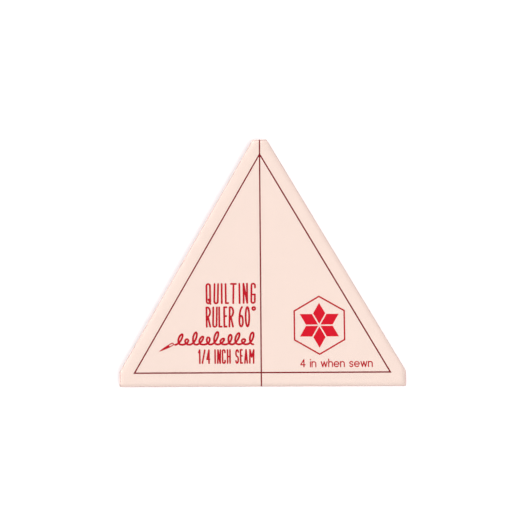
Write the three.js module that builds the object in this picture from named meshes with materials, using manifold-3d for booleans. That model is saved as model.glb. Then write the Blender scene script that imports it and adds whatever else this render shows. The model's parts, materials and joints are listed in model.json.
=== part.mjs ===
// A quilting ruler: one triangular plate of pink acrylic, with its sewing lines, lettering and
// emblem printed on the top face as thin raised films of red ink.
//
// Millimetres. The plate lies flat, with its underside on z = 0, its long edge towards -Y and
// its tip towards +Y. The origin is under the middle of the plate's bounding box.

import * as THREE from "three";
import { mergeVertices } from "three/addons/utils/BufferGeometryUtils.js";
import Module from "manifold-3d";

const wasm = await Module();
wasm.setup();

// ---- Driving dimensions ----

const inch = 25.4;
const finishedHeight = 4 * inch; // of the patch that is left when its seams are sewn
const seamAllowance = inch / 4; // from a seam line out to the edge that guides the cut
const tipMargin = 7; // from a finished corner out to the flat that cuts off the tip

const plateThickness = 3;
const cornerRadius = 0.5; // of the plate's corners, seen from above
const edgeBevel = 0.15;

const inkThickness = 0.08;
const guideLineWidth = 0.64;

// Lettering: each line is as wide as its block, and stands this far above the base seam line.
const textRight = -2.3; // the left-hand block ends here, beside the centre line
const titleWidth = 23.2;
const titleCapHeight = 8.9;
const titleStroke = 0.88;
const titleBaseline = 31.9;
const angleBaseline = 21.1;
const seamNoteRight = -3.1;
const seamNoteWidth = 26;
const seamNoteCapHeight = 6;
const seamNoteStroke = 0.77;
const seamNoteBaseline = 4.4;
const heightNoteLeft = 17.8;
const heightNoteWidth = 33;
const heightNoteXHeight = 2.3;
const heightNoteStroke = 0.53;
const heightNoteBaseline = 2.5;
const capitalLean = 1.1; // degrees that hand-drawn capitals lean to either side, at most

// Needle and thread, between the angle line and the seam note.
const threadLoops = 11;
const threadLeft = -39.8;
const threadRight = -3.6;
const threadBaseline = 12.9;
const threadStroke = 0.93;
const threadSlant = 0.28;
const loopHeight = 4.1; // middling: the loops rise and fall about it
const loopHeightSwing = 1.7;
const loopSwing = 1.5; // how far each loop swings back and forth
const needleLength = 8;
const needleWidth = 1.5;
const needleTilt = 28; // degrees
const needleGap = 0.6; // from its eye to the start of the thread

// Emblem: a six-pointed patchwork star inside a hexagon.
const starX = 26.8;
const starHeight = 21.4; // of its middle, above the base seam line
const starPoints = 6;
const diamondSide = 5.6;
const diamondGap = 0.6;
const borderRadius = 13.2; // out to the middle of the hexagon's corners
const borderStroke = 0.7;

// ---- Derived dimensions ----

const root3 = Math.sqrt(3);
const finishedSide = (2 * finishedHeight) / root3;
const plateWidth = finishedSide + 2 * tipMargin;
const plateHeight = seamAllowance + finishedHeight + tipMargin;
const topY = plateHeight / 2;
const baseY = -topY;
const seamY = baseY + seamAllowance; // the seam line along the base
const apexY = seamY + finishedHeight;
const cuttingApexY = apexY + 2 * seamAllowance; // where the slanted edges would meet

// ---- Materials ----

const acrylic = new THREE.MeshStandardMaterial({
  color: 0xf9d9cf,
  roughness: 0.06,
  metalness: 0,
  transparent: true,
  opacity: 0.55,
});
const redInk = new THREE.MeshStandardMaterial({ color: 0xd3112f, roughness: 0.4 });
const deepRedInk = new THREE.MeshStandardMaterial({ color: 0xb0142c, roughness: 0.4 });
const darkRedInk = new THREE.MeshStandardMaterial({ color: 0x7d1422, roughness: 0.4 });

// ---- Solids ----

// A flat solid with the outline and holes of a shape, standing on z = 0.
function slab(shape, thickness) {
  const geometry = new THREE.ExtrudeGeometry(shape, { depth: thickness, bevelEnabled: false });
  geometry.deleteAttribute("normal");
  geometry.deleteAttribute("uv");
  const merged = mergeVertices(geometry);
  return new wasm.Manifold(
    new wasm.Mesh({
      numProp: 3,
      vertProperties: merged.attributes.position.array,
      triVerts: new Uint32Array(merged.index.array),
    }),
  );
}

function geometryOf(solid) {
  const { vertProperties, triVerts } = solid.getMesh();
  const geometry = new THREE.BufferGeometry();
  geometry.setAttribute("position", new THREE.BufferAttribute(vertProperties, 3));
  geometry.setIndex(new THREE.BufferAttribute(triVerts, 1));
  geometry.computeVertexNormals();
  return geometry;
}

// One film of ink on the plate's top face, turned about its own origin and moved to x, y.
function inkMesh(name, solid, x = 0, y = 0, turn = 0, ink = deepRedInk) {
  const mesh = new THREE.Mesh(geometryOf(solid), ink.clone());
  mesh.name = name;
  mesh.position.set(x, y, plateThickness);
  mesh.rotation.z = turn;
  return mesh;
}

const radians = THREE.MathUtils.degToRad;
const vectors = (points) => points.map(([x, y]) => new THREE.Vector2(x, y));
const directionFrom = (a, b) => b.clone().sub(a).normalize();
const polygonSlab = (corners) => slab(new THREE.Shape(vectors(corners)), inkThickness);

// A closed line of points without repeats.
function withoutRepeats(points) {
  const sameSpot = 1e-6;
  return points.filter((point, i) => point.distanceTo(points.at(i - 1)) > sameSpot);
}

// ---- Pen strokes ----

const endSides = 6; // of a stroke's round end
const curveDivisions = 6; // an arc gets twice as many sides, a quadratic curve as many

// The points that carry a half circle on from one side of a stroke to the other.
function roundEnd(centre, from) {
  const points = [];
  for (let side = 1; side < endSides; side++) {
    points.push(from.clone().rotateAround(centre, (Math.PI * side) / endSides));
  }
  return points;
}

// The outline of a band of the given width along a line of points, with round ends.
function strokeOutline(points, width) {
  const right = [];
  const left = [];
  points.forEach((point, i) => {
    const end = Math.max(i, 1);
    const arriving = directionFrom(points[end - 1], points[end]);
    const leaving = i + 1 < points.length ? directionFrom(point, points[i + 1]) : arriving;
    const along = arriving.add(leaving).setLength(width / 2);
    const aside = new THREE.Vector2(along.y, -along.x);
    right.push(point.clone().add(aside));
    left.unshift(point.clone().sub(aside));
  });
  return [
    ...right,
    ...roundEnd(points.at(-1), right.at(-1)),
    ...left,
    ...roundEnd(points[0], left.at(-1)),
  ];
}

// One solid made of pen strokes, each a list of points.
function penned(strokes, width) {
  return strokes
    .map((points) => slab(new THREE.Shape(strokeOutline(points, width)), inkThickness))
    .reduce((joined, band) => joined.add(band));
}

// ---- Plate ----

// A convex outline, run counter-clockwise, with its corners rounded.
function roundedPolygon(corners, radius) {
  const points = vectors(corners);
  const shape = new THREE.Shape();
  points.forEach((corner, i) => {
    const arriving = directionFrom(points.at(i - 1), corner);
    const leaving = directionFrom(corner, points[(i + 1) % points.length]);
    const halfTurn = Math.acos(arriving.dot(leaving)) / 2;
    const inward = leaving.clone().sub(arriving).normalize();
    const centre = corner.clone().addScaledVector(inward, radius / Math.cos(halfTurn));
    const startAngle = arriving.angle() - Math.PI / 2;
    const endAngle = leaving.angle() - Math.PI / 2;
    shape.absarc(centre.x, centre.y, radius, startAngle, endAngle, false);
  });
  return shape;
}

function acrylicPlate() {
  const halfWidth = plateWidth / 2;
  const halfTip = (cuttingApexY - topY) / root3;
  const shoulderY = cuttingApexY - halfWidth * root3;
  const corners = [
    [-halfWidth, baseY],
    [halfWidth, baseY],
    [halfWidth, shoulderY],
    [halfTip, topY],
    [-halfTip, topY],
    [-halfWidth, shoulderY],
  ];
  const geometry = new THREE.ExtrudeGeometry(roundedPolygon(corners, cornerRadius), {
    depth: plateThickness - 2 * edgeBevel,
    bevelThickness: edgeBevel,
    bevelSize: edgeBevel,
    bevelOffset: -edgeBevel,
    bevelSegments: 1,
    curveSegments: 2,
  });
  geometry.translate(0, 0, edgeBevel);
  const mesh = new THREE.Mesh(geometry, acrylic);
  mesh.name = "acrylic_plate";
  return mesh;
}

// ---- Sewing lines ----

// The centre line runs from edge to edge. The seam lines end against it, and are mitred where
// they meet each other.
function sewingLines() {
  const half = guideLineWidth / 2;
  const printEdge = topY - edgeBevel;
  const mitre = half * root3; // a 60 degree corner's point lies this far past a line's middle
  const cornerX = finishedSide / 2;
  const outerY = apexY + 2 * half - half * root3; // the slanted lines' edges at the centre line
  const innerY = apexY - 2 * half - half * root3;
  const centre = [
    [-half, -printEdge],
    [half, -printEdge],
    [half, printEdge],
    [-half, printEdge],
  ];
  const slanted = [
    [half, innerY],
    [cornerX - mitre, seamY + half],
    [cornerX + mitre, seamY - half],
    [half, outerY],
  ];
  const base = [
    [half, seamY - half],
    [cornerX + mitre, seamY - half],
    [cornerX - mitre, seamY + half],
    [half, seamY + half],
  ];
  const mirrored = (corners) => corners.map(([x, y]) => [-x, y]).reverse();
  const lines = {
    centre_line: centre,
    seam_line_right: slanted,
    seam_line_left: mirrored(slanted),
    seam_line_base_right: base,
    seam_line_base_left: mirrored(base),
  };
  const group = new THREE.Group();
  for (const [name, corners] of Object.entries(lines)) {
    group.add(inkMesh(name, polygonSlab(corners), 0, 0, 0, darkRedInk));
  }
  return group;
}

// ---- Alphabets ----

const pen = (x, y) => new THREE.Path().moveTo(x, y);

// The two halves of an upright oval, which together close it.
const oval = (x, y, rx, ry) => [
  pen(x, y + ry).absellipse(x, y, rx, ry, radians(90), radians(270), false),
  pen(x, y + ry).absellipse(x, y, rx, ry, radians(90), radians(-90), true),
];

// An s of two half ovals, one on the other, with its ends turned in.
const doubleBend = (rx, ry) => pen(1.94 * rx, 3.34 * ry)
  .absellipse(rx, 3 * ry, rx, ry, radians(20), radians(270), false)
  .absellipse(rx, ry, rx, ry, radians(90), radians(-160), true);

// Tall narrow capitals and numerals in units of the cap height. Each has its width and its
// strokes.
function capitals() {
  const w = 0.185;
  const r = w / 2;
  const foot = 0.12; // the bars of L and E
  const bar = 0.25; // the bar of T
  const wide = 0.29; // the width of M
  // From the upper right, over the top and round the bottom, as far as C and G share it.
  const openBowl = () => pen(w, 0.8).lineTo(w, 1 - r)
    .absarc(r, 1 - r, r, 0, radians(180), false).lineTo(0, r)
    .absarc(r, r, r, radians(180), radians(360), false);
  return {
    Q: [w, [
      pen(r, 1).absarc(r, 1 - r, r, radians(90), radians(180), false).lineTo(0, r)
        .absarc(r, r, r, radians(180), radians(270), false),
      pen(r, 1).absarc(r, 1 - r, r, radians(90), 0, true).lineTo(w, r)
        .absarc(r, r, r, 0, radians(-90), true),
      pen(0.55 * w, 0.2).lineTo(1.05 * w, -0.03),
    ]],
    U: [w, [
      pen(0, 1).lineTo(0, r).absarc(r, r, r, radians(180), radians(360), false).lineTo(w, 1),
    ]],
    I: [0, [pen(0, 0).lineTo(0, 1)]],
    L: [foot, [pen(0, 1).lineTo(0, 0), pen(0, 0).lineTo(foot, 0)]],
    T: [bar, [pen(0, 1).lineTo(bar, 1), pen(bar / 2, 1).lineTo(bar / 2, 0)]],
    N: [w, [pen(0, 0).lineTo(0, 1), pen(0, 1).lineTo(w, 0), pen(w, 0).lineTo(w, 1)]],
    C: [w, [openBowl().lineTo(w, 0.2)]],
    G: [w, [openBowl().lineTo(w, 0.44), pen(w, 0.44).lineTo(0.5 * w, 0.44)]],
    R: [w, [
      pen(0, 0).lineTo(0, 1),
      pen(0, 1).lineTo(0.3 * w, 1)
        .absellipse(0.3 * w, 0.76, 0.7 * w, 0.24, radians(90), radians(-90), true)
        .lineTo(0, 0.52),
      pen(0.35 * w, 0.52).lineTo(w, 0),
    ]],
    E: [foot, [
      pen(0, 0).lineTo(0, 1),
      pen(0, 1).lineTo(foot, 1),
      pen(0, 0.54).lineTo(0.85 * foot, 0.54),
      pen(0, 0).lineTo(foot, 0),
    ]],
    H: [w, [pen(0, 0).lineTo(0, 1), pen(w, 0).lineTo(w, 1), pen(0, 0.5).lineTo(w, 0.5)]],
    S: [w, [doubleBend(r, 0.25)]],
    A: [w, [
      pen(0, 0).lineTo(r, 1),
      pen(r, 1).lineTo(w, 0),
      pen(0.15 * w, 0.3).lineTo(0.85 * w, 0.3),
    ]],
    M: [wide, [
      pen(0, 0).lineTo(0, 1),
      pen(0, 1).lineTo(wide / 2, 0.45),
      pen(wide / 2, 0.45).lineTo(wide, 1),
      pen(wide, 1).lineTo(wide, 0),
    ]],
    zero: [w, oval(r, 0.5, r, 0.5)],
    one: [0.4 * w, [pen(0, 0.82).lineTo(0.4 * w, 1), pen(0.4 * w, 1).lineTo(0.4 * w, 0)]],
    four: [w, [
      pen(0.8 * w, 0).lineTo(0.8 * w, 1),
      pen(0.8 * w, 1).lineTo(0, 0.3),
      pen(0, 0.3).lineTo(w, 0.3),
    ]],
    six: [w, [
      pen(0.8 * w, 1).quadraticCurveTo(0, 0.8, 0, 0.28)
        .absellipse(r, 0.28, r, 0.28, radians(180), radians(360), false),
      pen(w, 0.28).absellipse(r, 0.28, r, 0.28, 0, radians(180), false),
    ]],
    degree: [0.15, oval(0.075, 0.925, 0.075, 0.075)],
    slash: [0.9 * w, [pen(0, 0).lineTo(0.9 * w, 1)]],
    space: [0.05, []],
  };
}

// Round lower case in units of the height of its x.
function lowerCase() {
  const arch = 0.37; // radius of the shoulders of n and h
  const ascender = 1.5;
  const wide = 1.16; // the width of w
  const valley = 0.25 * wide;
  const shoulder = () => pen(0, 1 - arch)
    .absarc(arch, 1 - arch, arch, radians(180), 0, true).lineTo(2 * arch, 0);
  return {
    e: [0.96, [
      pen(0, 0.5).lineTo(0.96, 0.5),
      pen(0.96, 0.5).absellipse(0.48, 0.5, 0.48, 0.5, 0, radians(315), false),
    ]],
    h: [2 * arch, [pen(0, 0).lineTo(0, ascender), shoulder()]],
    i: [0, [pen(0, 0).lineTo(0, 1)]],
    n: [2 * arch, [pen(0, 0).lineTo(0, 1), shoulder()]],
    s: [0.6, [doubleBend(0.3, 0.25)]],
    w: [wide, [
      pen(0, 1).lineTo(valley, 0),
      pen(valley, 0).lineTo(wide / 2, 1),
      pen(wide / 2, 1).lineTo(wide - valley, 0),
      pen(wide - valley, 0).lineTo(wide, 1),
    ]],
    four: [0.85, [
      pen(0.64, 0).lineTo(0.64, 1.4),
      pen(0.64, 1.4).lineTo(0, 0.42),
      pen(0, 0.42).lineTo(0.85, 0.42),
    ]],
    space: [0.45, []],
  };
}

// ---- Lettering ----

// The dot of an i, a little wider than its stem.
function dot(stroke) {
  const circle = new THREE.Path().absarc(0, 0, 0.6 * stroke, 0, radians(360), false);
  return slab(new THREE.Shape(withoutRepeats(circle.getPoints(curveDivisions))), inkThickness);
}

// How much nearer than the rest a pair of capitals stands, in units of the cap height.
const closerPairs = { LT: 0.07 };

// A line of lettering that fills its width exactly, with one film of ink for each glyph.
function lettering({ name, glyphs, alphabet, size, stroke, left, width, baseline, lean = 0 }) {
  const dotHeight = 1.42 * size;
  const widths = glyphs.map((glyph, i) => {
    const closer = closerPairs[glyph + glyphs[i + 1]] ?? 0;
    return (alphabet[glyph][0] - closer) * size;
  });
  const inked = widths.reduce((sum, part) => sum + part, stroke);
  const gap = (width - inked) / (glyphs.length - 1);
  const line = new THREE.Group();
  let x = left + stroke / 2;
  let count = 0;
  glyphs.forEach((glyph, i) => {
    if (glyph !== "space") {
      count += 1;
      const strokes = alphabet[glyph][1].map((path) =>
        withoutRepeats(path.getPoints(curveDivisions)).map((point) => point.multiplyScalar(size)),
      );
      const label = [name, count, glyph].join("_");
      const turn = radians(lean * Math.sin(2.2 * count));
      line.add(inkMesh(label, penned(strokes, stroke), x, seamY + baseline, turn));
      if (glyph === "i") {
        line.add(inkMesh(label + "_dot", dot(stroke), x, seamY + baseline + dotHeight));
      }
    }
    x += widths[i] + gap;
  });
  return line;
}

function allLettering() {
  const title = {
    alphabet: capitals(),
    size: titleCapHeight,
    stroke: titleStroke,
    left: textRight - titleWidth,
    width: titleWidth,
    lean: capitalLean,
  };
  const lines = new THREE.Group();
  lines.add(
    lettering({
      ...title,
      name: "title_line",
      glyphs: [..."QUILTING"],
      baseline: titleBaseline,
    }),
    lettering({
      ...title,
      name: "angle_line",
      glyphs: [..."RULER", "space", "six", "zero", "degree"],
      baseline: angleBaseline,
    }),
    lettering({
      name: "seam_note",
      glyphs: ["one", "slash", "four", "space", ..."INCH", "space", ..."SEAM"],
      alphabet: capitals(),
      size: seamNoteCapHeight,
      stroke: seamNoteStroke,
      left: seamNoteRight - seamNoteWidth,
      width: seamNoteWidth,
      baseline: seamNoteBaseline,
      lean: capitalLean,
    }),
    lettering({
      name: "height_note",
      glyphs: ["four", "space", ..."in", "space", ..."when", "space", ..."sewn"],
      alphabet: lowerCase(),
      size: heightNoteXHeight,
      stroke: heightNoteStroke,
      left: heightNoteLeft,
      width: heightNoteWidth,
      baseline: heightNoteBaseline,
    }),
  );
  return lines;
}

// ---- Needle and thread ----

const threadY = seamY + threadBaseline;

// The middle of the thread at a number of turns from its start: a row of slanting loops that
// rise and fall.
function threadPoint(turns) {
  const pitch = (threadRight - threadLeft) / threadLoops;
  const turn = radians(360 * turns);
  const height = loopHeight + loopHeightSwing * Math.cos(0.37 * turn);
  const y = (height * (1 - Math.cos(turn))) / 2;
  const x = pitch * turns + loopSwing * Math.sin(turn) + threadSlant * y;
  return new THREE.Vector2(threadLeft + x, threadY + y);
}

// Short strokes, one after the other, because a stroke can't cross itself or its own edges.
function loopedThread() {
  const strokesPerLoop = 8;
  const sides = 3;
  const strokes = [];
  for (let stroke = 0; stroke < strokesPerLoop * threadLoops; stroke++) {
    const points = [];
    for (let side = 0; side <= sides; side++) {
      points.push(threadPoint((stroke + side / sides) / strokesPerLoop));
    }
    strokes.push(points);
  }
  return inkMesh("thread_loops", penned(strokes, threadStroke));
}

// A slim needle with an eye, pointing along -X before it is tilted.
function needle() {
  const half = needleWidth / 2;
  const waist = 0.6 * needleLength;
  const eye = { from: -2.1, to: -0.75, width: 0.5 };
  const outline = new THREE.Path();
  outline.moveTo(-needleLength, 0);
  outline.quadraticCurveTo(-waist, -half, -half, -half);
  outline.absarc(-half, 0, half, radians(-90), radians(90), false);
  outline.quadraticCurveTo(-waist, half, -needleLength, 0);
  const body = new THREE.Shape(withoutRepeats(outline.getPoints(2 * curveDivisions)));
  const slot = strokeOutline(vectors([[eye.from, 0], [eye.to, 0]]), eye.width);
  body.holes.push(new THREE.Path(slot));
  const solid = slab(body, inkThickness);
  return inkMesh("needle", solid, threadLeft - needleGap, threadY + needleGap, radians(needleTilt));
}

// ---- Emblem ----

function starEmblem() {
  const emblem = new THREE.Group();
  const starY = seamY + starHeight;
  const turns = 360 / starPoints;
  const reach = (diamondSide * root3) / 2;
  const diamond = [
    [0, 0],
    [reach, -diamondSide / 2],
    [2 * reach, 0],
    [reach, diamondSide / 2],
  ];
  const inset = (borderRadius * root3) / 2; // from the middle to a side of the hexagon
  const inner = inset - borderStroke / 2;
  const outer = inset + borderStroke / 2;
  const side = [
    [inner, -inner / root3],
    [outer, -outer / root3],
    [outer, outer / root3],
    [inner, inner / root3],
  ];
  for (let i = 0; i < starPoints; i++) {
    const turn = radians(turns * i + turns / 2);
    const x = starX + diamondGap * Math.cos(turn);
    const y = starY + diamondGap * Math.sin(turn);
    emblem.add(
      inkMesh("star_diamond_" + (i + 1), polygonSlab(diamond), x, y, turn, redInk),
      inkMesh("star_border_" + (i + 1), polygonSlab(side), starX, starY, radians(turns * i)),
    );
  }
  return emblem;
}

// ---- Assembly ----

const ruler = new THREE.Group();
ruler.add(
  acrylicPlate(),
  sewingLines(),
  allLettering(),
  loopedThread(),
  needle(),
  starEmblem(),
);

export default ruler;
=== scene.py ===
# A quilting ruler on a white table: its pink acrylic plate and red printed marks, under a pale
# sky that is brightest at the lower right, seen from nearly straight above. Metres, in the CAD
# model's frame.

import json
import math

import bmesh
import bpy
from mathutils import Matrix, Vector


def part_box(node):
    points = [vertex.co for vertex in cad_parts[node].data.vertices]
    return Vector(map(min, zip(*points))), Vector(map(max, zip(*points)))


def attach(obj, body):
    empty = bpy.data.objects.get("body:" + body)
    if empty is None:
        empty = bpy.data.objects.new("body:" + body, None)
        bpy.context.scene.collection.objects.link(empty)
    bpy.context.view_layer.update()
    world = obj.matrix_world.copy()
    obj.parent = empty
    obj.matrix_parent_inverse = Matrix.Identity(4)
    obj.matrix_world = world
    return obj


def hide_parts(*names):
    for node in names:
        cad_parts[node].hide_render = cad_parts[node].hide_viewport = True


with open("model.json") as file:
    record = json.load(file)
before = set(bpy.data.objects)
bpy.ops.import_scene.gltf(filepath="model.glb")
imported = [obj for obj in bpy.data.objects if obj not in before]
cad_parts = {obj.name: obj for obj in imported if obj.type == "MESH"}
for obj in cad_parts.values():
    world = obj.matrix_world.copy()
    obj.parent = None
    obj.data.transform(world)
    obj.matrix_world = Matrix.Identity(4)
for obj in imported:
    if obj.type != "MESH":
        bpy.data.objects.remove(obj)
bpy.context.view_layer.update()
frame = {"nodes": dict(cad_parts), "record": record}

# ---- Driving dimensions ----

MM = 0.001
INCH = 0.0254
SEAM_ALLOWANCE = INCH / 4
TIP_MARGIN = 7 * MM  # from a finished corner out to the flat that cuts off the tip
CORNER_RADIUS = 0.5 * MM
CORNER_SIDES = 12
EDGE_ROUNDING = 0.12 * MM  # of the plate's polished edges
EDGE_SIDES = 4
INK_ROUNDING = 0.03 * MM

PLATE_LOW, PLATE_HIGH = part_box("acrylic_plate")
THICKNESS = PLATE_HIGH.z - PLATE_LOW.z

# Most of the acrylic's tint is set where light crosses its surface, and the rest builds up with
# depth, so that its edges look deeper. As red, green and blue:
SURFACE_TINT = (0.867, 0.798, 0.745)
CLEARNESS = (0.992, 0.964, 0.970)  # what 3 mm of it lets through

# The sky's brightness at the horizon and overhead, and what a soft window adds to it.
HORIZON = 1.0
OVERHEAD = 1.29
WINDOW = 3.3
WINDOW_FROM = Vector((0.9, -0.6, 1.0)).normalized()
WINDOW_FALLOFF = 16  # a power of the cosine away from its middle

LIGHT_BOUNCES = 48
TABLE_RADIUS = 3
TABLE_GAP = 0.02 * MM  # keeps the table's face apart from the plate's

# ---- Node helpers ----

class Nodes:
    """Adds nodes to a new material or world and links them by name."""

    def __init__(self, owner):
        self.owner = owner
        owner.use_nodes = True
        self.tree = owner.node_tree
        self.tree.nodes.clear()
        kind = "World" if isinstance(owner, bpy.types.World) else "Material"
        self.output = self.add("Output" + kind)

    def add(self, kind, **settings):
        node = self.tree.nodes.new("ShaderNode" + kind)
        for key, value in settings.items():
            setattr(node, key, value)
        return node

    def link(self, source, target):
        self.tree.links.new(source, target)

    def feed(self, node, **values):
        """Sets or links a node's inputs by name, with _ for each space."""
        for key, value in values.items():
            socket = node.inputs[key.replace("_", " ")]
            if isinstance(value, bpy.types.NodeSocket):
                self.link(value, socket)
            else:
                socket.default_value = value
        return node

    def maths(self, operation, first, second=0.0):
        node = self.add("Math", operation=operation)
        for socket, value in zip(node.inputs, (first, second)):
            if isinstance(value, bpy.types.NodeSocket):
                self.link(value, socket)
            else:
                socket.default_value = value
        return node.outputs[0]

    def noise(self, scale, detail=2.0, stretch=(1, 1, 1)):
        """A noise between 0 and 1 over the object's own space, scale to a metre."""
        place = self.add("TexCoord").outputs["Object"]
        mapping = self.feed(self.add("Mapping"), Vector=place, Scale=stretch)
        texture = self.feed(
            self.add("TexNoise"), Vector=mapping.outputs[0], Scale=scale, Detail=detail
        )
        return texture.outputs["Fac"]

    def between(self, factor, low, high):
        node = self.add("MapRange")
        return self.feed(node, Value=factor, To_Min=low, To_Max=high).outputs[0]

    def blend(self, factor, first, second):
        """A colour that goes from the first to the second as the factor goes from 0 to 1."""
        node = self.add("Mix", data_type="RGBA")
        self.link(factor, node.inputs["Factor"])
        ends = [socket for socket in node.inputs if socket.type == "RGBA"]
        for socket, colour in zip(ends, (first, second)):
            socket.default_value = (*colour, 1)
        return next(socket for socket in node.outputs if socket.type == "RGBA")


def material_nodes(name):
    return Nodes(bpy.data.materials.new(name))


# ---- Materials ----

def wall_mask(nodes):
    """1 on the plate's walls and 0 on its faces."""
    normal = nodes.add("NewGeometry").outputs["True Normal"]
    parts = nodes.feed(nodes.add("SeparateXYZ"), Vector=normal)
    upright = nodes.maths("ABSOLUTE", parts.outputs["Z"])
    return nodes.maths("LESS_THAN", upright, 0.5)


def pink_acrylic():
    nodes = material_nodes("pink_acrylic")
    wall = wall_mask(nodes)

    # The laser leaves fine upright ripples on the walls. The faces are nearly flat.
    ripples = nodes.noise(5000, detail=3, stretch=(1, 1, 0.03))
    swell = nodes.noise(45, detail=1)
    wall_bump = nodes.feed(
        nodes.add("Bump"), Height=nodes.maths("MULTIPLY", ripples, wall),
        Strength=0.35, Distance=0.04 * MM,
    )
    bump = nodes.feed(
        nodes.add("Bump"), Height=swell, Strength=0.1, Distance=0.05 * MM,
        Normal=wall_bump.outputs[0],
    )

    # Handling leaves faint hazy patches on the polish.
    haze = nodes.between(nodes.noise(70, detail=6), 0.015, 0.05)
    roughness = nodes.maths("MAXIMUM", haze, nodes.maths("MULTIPLY", wall, 0.14))
    glass = nodes.feed(
        nodes.add("BsdfPrincipled"), Base_Color=(*SURFACE_TINT, 1), Roughness=roughness,
        IOR=1.49, Transmission_Weight=1.0, Normal=bump.outputs[0],
    )
    nodes.link(glass.outputs[0], nodes.output.inputs["Surface"])

    absorbed = [-math.log(part) / THICKNESS for part in CLEARNESS]
    density = max(absorbed)
    colour = [1 - part / density for part in absorbed]
    absorption = nodes.feed(
        nodes.add("VolumeAbsorption"), Color=(*colour, 1), Density=density
    )
    nodes.link(absorption.outputs[0], nodes.output.inputs["Volume"])
    return nodes.owner


def printed_ink(name, colour, faded):
    """Satin ink whose colour varies a little between two reds, with a fine grain."""
    nodes = material_nodes(name)
    mottle = nodes.blend(nodes.noise(900, detail=4), colour, faded)
    grain = nodes.feed(
        nodes.add("Bump"), Height=nodes.noise(12000, detail=2), Strength=0.3,
        Distance=0.01 * MM,
    )
    shader = nodes.feed(
        nodes.add("BsdfPrincipled"), Base_Color=mottle,
        Roughness=nodes.between(nodes.noise(1500), 0.35, 0.55), Specular_IOR_Level=0.1,
        Normal=grain.outputs[0],
    )
    nodes.link(shader.outputs[0], nodes.output.inputs["Surface"])
    return nodes.owner


# ---- Acrylic plate ----

def plate_corners():
    """The plate's six corners seen from above, counter-clockwise."""
    root3 = math.sqrt(3)
    # The slanted sides would meet above the finished corner by twice the seam allowance.
    cutting_apex = PLATE_HIGH.y - TIP_MARGIN + 2 * SEAM_ALLOWANCE
    half_tip = (cutting_apex - PLATE_HIGH.y) / root3
    shoulder = cutting_apex - PLATE_HIGH.x * root3
    return [
        Vector((PLATE_LOW.x, PLATE_LOW.y)),
        Vector((PLATE_HIGH.x, PLATE_LOW.y)),
        Vector((PLATE_HIGH.x, shoulder)),
        Vector((half_tip, PLATE_HIGH.y)),
        Vector((-half_tip, PLATE_HIGH.y)),
        Vector((PLATE_LOW.x, shoulder)),
    ]


def rounded(corners, radius, sides):
    """The outline with each corner replaced by an arc."""
    points = []
    for i, corner in enumerate(corners):
        arriving = (corner - corners[i - 1]).normalized()
        leaving = (corners[(i + 1) % len(corners)] - corner).normalized()
        turn = arriving.angle(leaving)
        inward = (leaving - arriving).normalized()
        centre = corner + inward * radius / math.cos(turn / 2)
        out = Vector((arriving.y, -arriving.x)) * radius
        for side in range(sides + 1):
            points.append(centre + Matrix.Rotation(turn * side / sides, 2) @ out)
    return points


def polished_plate(material):
    outline = rounded(plate_corners(), CORNER_RADIUS, CORNER_SIDES)
    solid = bmesh.new()
    floor = [solid.verts.new((*point, PLATE_LOW.z)) for point in outline]
    roof = [solid.verts.new((*point, PLATE_HIGH.z)) for point in outline]
    solid.faces.new(list(reversed(floor)))
    solid.faces.new(roof)
    for i in range(len(outline)):
        ahead = (i + 1) % len(outline)
        solid.faces.new((floor[i], floor[ahead], roof[ahead], roof[i]))
    for face in solid.faces:
        face.smooth = True
    mesh = bpy.data.meshes.new("polished_plate")
    solid.to_mesh(mesh)
    solid.free()
    mesh.materials.append(material)
    plate = bpy.data.objects.new("polished_plate", mesh)
    bpy.context.scene.collection.objects.link(plate)
    bevel = plate.modifiers.new("edges", "BEVEL")
    bevel.width = EDGE_ROUNDING
    bevel.segments = EDGE_SIDES
    bevel.limit_method = "ANGLE"
    bevel.angle_limit = math.radians(60)
    bevel.harden_normals = True
    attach(plate, "root")
    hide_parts("acrylic_plate")


# ---- Printed ink ----

def print_marks():
    """The CAD ink with softened edges. It leaves out the faint shadow on the table under it."""
    inks = {
        "red_ink": printed_ink("red_ink", (0.45, 0.001, 0.010), (0.55, 0.003, 0.018)),
        "deep_red_ink": printed_ink("deep_red_ink", (0.31, 0.001, 0.008), (0.42, 0.002, 0.013)),
        "dark_red_ink": printed_ink("dark_red_ink", (0.13, 0.001, 0.006), (0.18, 0.002, 0.008)),
    }
    slots = {part["node"]: part["material_slot"] for part in frame["record"]["subparts"]}
    for name, node in frame["nodes"].items():
        if name == "acrylic_plate":
            continue
        node.data.materials.clear()
        node.data.materials.append(inks[slots[name]])
        node.visible_transmission = False
        weld = node.modifiers.new("weld", "WELD")
        weld.merge_threshold = 0.001 * MM
        bevel = node.modifiers.new("soft edge", "BEVEL")
        bevel.width = INK_ROUNDING
        bevel.segments = 2
        bevel.limit_method = "ANGLE"
        bevel.angle_limit = math.radians(50)


# ---- Stage ----

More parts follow.
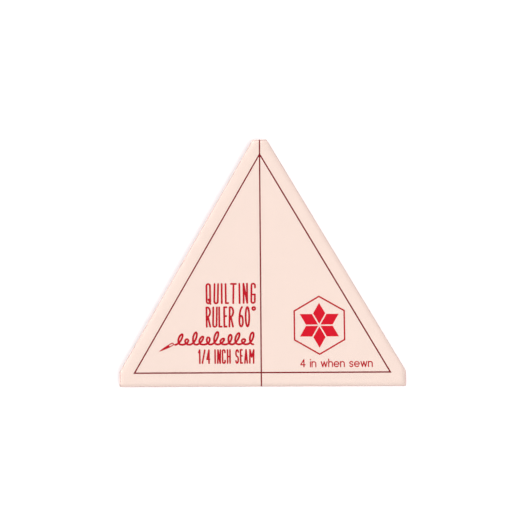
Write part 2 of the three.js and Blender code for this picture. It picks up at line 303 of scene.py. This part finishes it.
def white_table():
    bpy.ops.mesh.primitive_circle_add(vertices=96, radius=TABLE_RADIUS, fill_type="NGON")
    table = bpy.context.object
    table.name = "white_table"
    table.location.z = -TABLE_GAP
    nodes = material_nodes("white_table")
    shader = nodes.feed(
        nodes.add("BsdfPrincipled"), Base_Color=(0.9, 0.9, 0.9, 1), Roughness=0.9,
    )
    nodes.link(shader.outputs[0], nodes.output.inputs["Surface"])
    table.data.materials.append(nodes.owner)


def studio_sky():
    world = bpy.data.worlds.new("studio")
    bpy.context.scene.world = world
    nodes = Nodes(world)
    direction = nodes.add("TexCoord").outputs["Generated"]
    height = nodes.feed(nodes.add("SeparateXYZ"), Vector=direction).outputs["Z"]
    towards_window = nodes.add("VectorMath", operation="DOT_PRODUCT")
    nodes.link(direction, towards_window.inputs[0])
    towards_window.inputs[1].default_value = WINDOW_FROM
    cosine = nodes.maths("MAXIMUM", towards_window.outputs["Value"])
    window = nodes.maths("MULTIPLY", nodes.maths("POWER", cosine, WINDOW_FALLOFF), WINDOW)
    strength = nodes.maths("ADD", nodes.between(height, HORIZON, OVERHEAD), window)
    sky = nodes.feed(nodes.add("Background"), Strength=strength)
    sky.inputs["Color"].default_value = (1, 1, 1, 1)
    nodes.link(sky.outputs[0], nodes.output.inputs["Surface"])


def long_light_paths():
    """Lets light run along inside the plate, which colours its edges, and cross it unblurred."""
    cycles = bpy.context.scene.cycles
    cycles.blur_glossy = 0
    cycles.max_bounces = LIGHT_BOUNCES
    cycles.glossy_bounces = LIGHT_BOUNCES
    cycles.transmission_bounces = LIGHT_BOUNCES


def camera():
    """A 50 mm lens over the plate, a little to the right of its middle and below it."""
    lens = bpy.data.cameras.new("camera")
    lens.lens = 50
    lens.sensor_width = 36
    lens.clip_start = 0.01
    viewer = bpy.data.objects.new("camera", lens)
    bpy.context.scene.collection.objects.link(viewer)
    place = Vector((18.4, -28.8, 339.9)) * MM
    target = Vector((1.2, -0.8, 3.0)) * MM
    roll = math.radians(0.48)
    back = (place - target).normalized()
    right = Vector((0, 1, 0)).cross(back).normalized()
    turn = Matrix((right, back.cross(right), back)).transposed().to_4x4()
    viewer.matrix_world = Matrix.Translation(place) @ turn @ Matrix.Rotation(-roll, 4, "Z")
    bpy.context.scene.camera = viewer


camera()
studio_sky()
long_light_paths()
white_table()
polished_plate(pink_acrylic())
print_marks()

bpy.context.scene.view_settings.view_transform = "Standard"
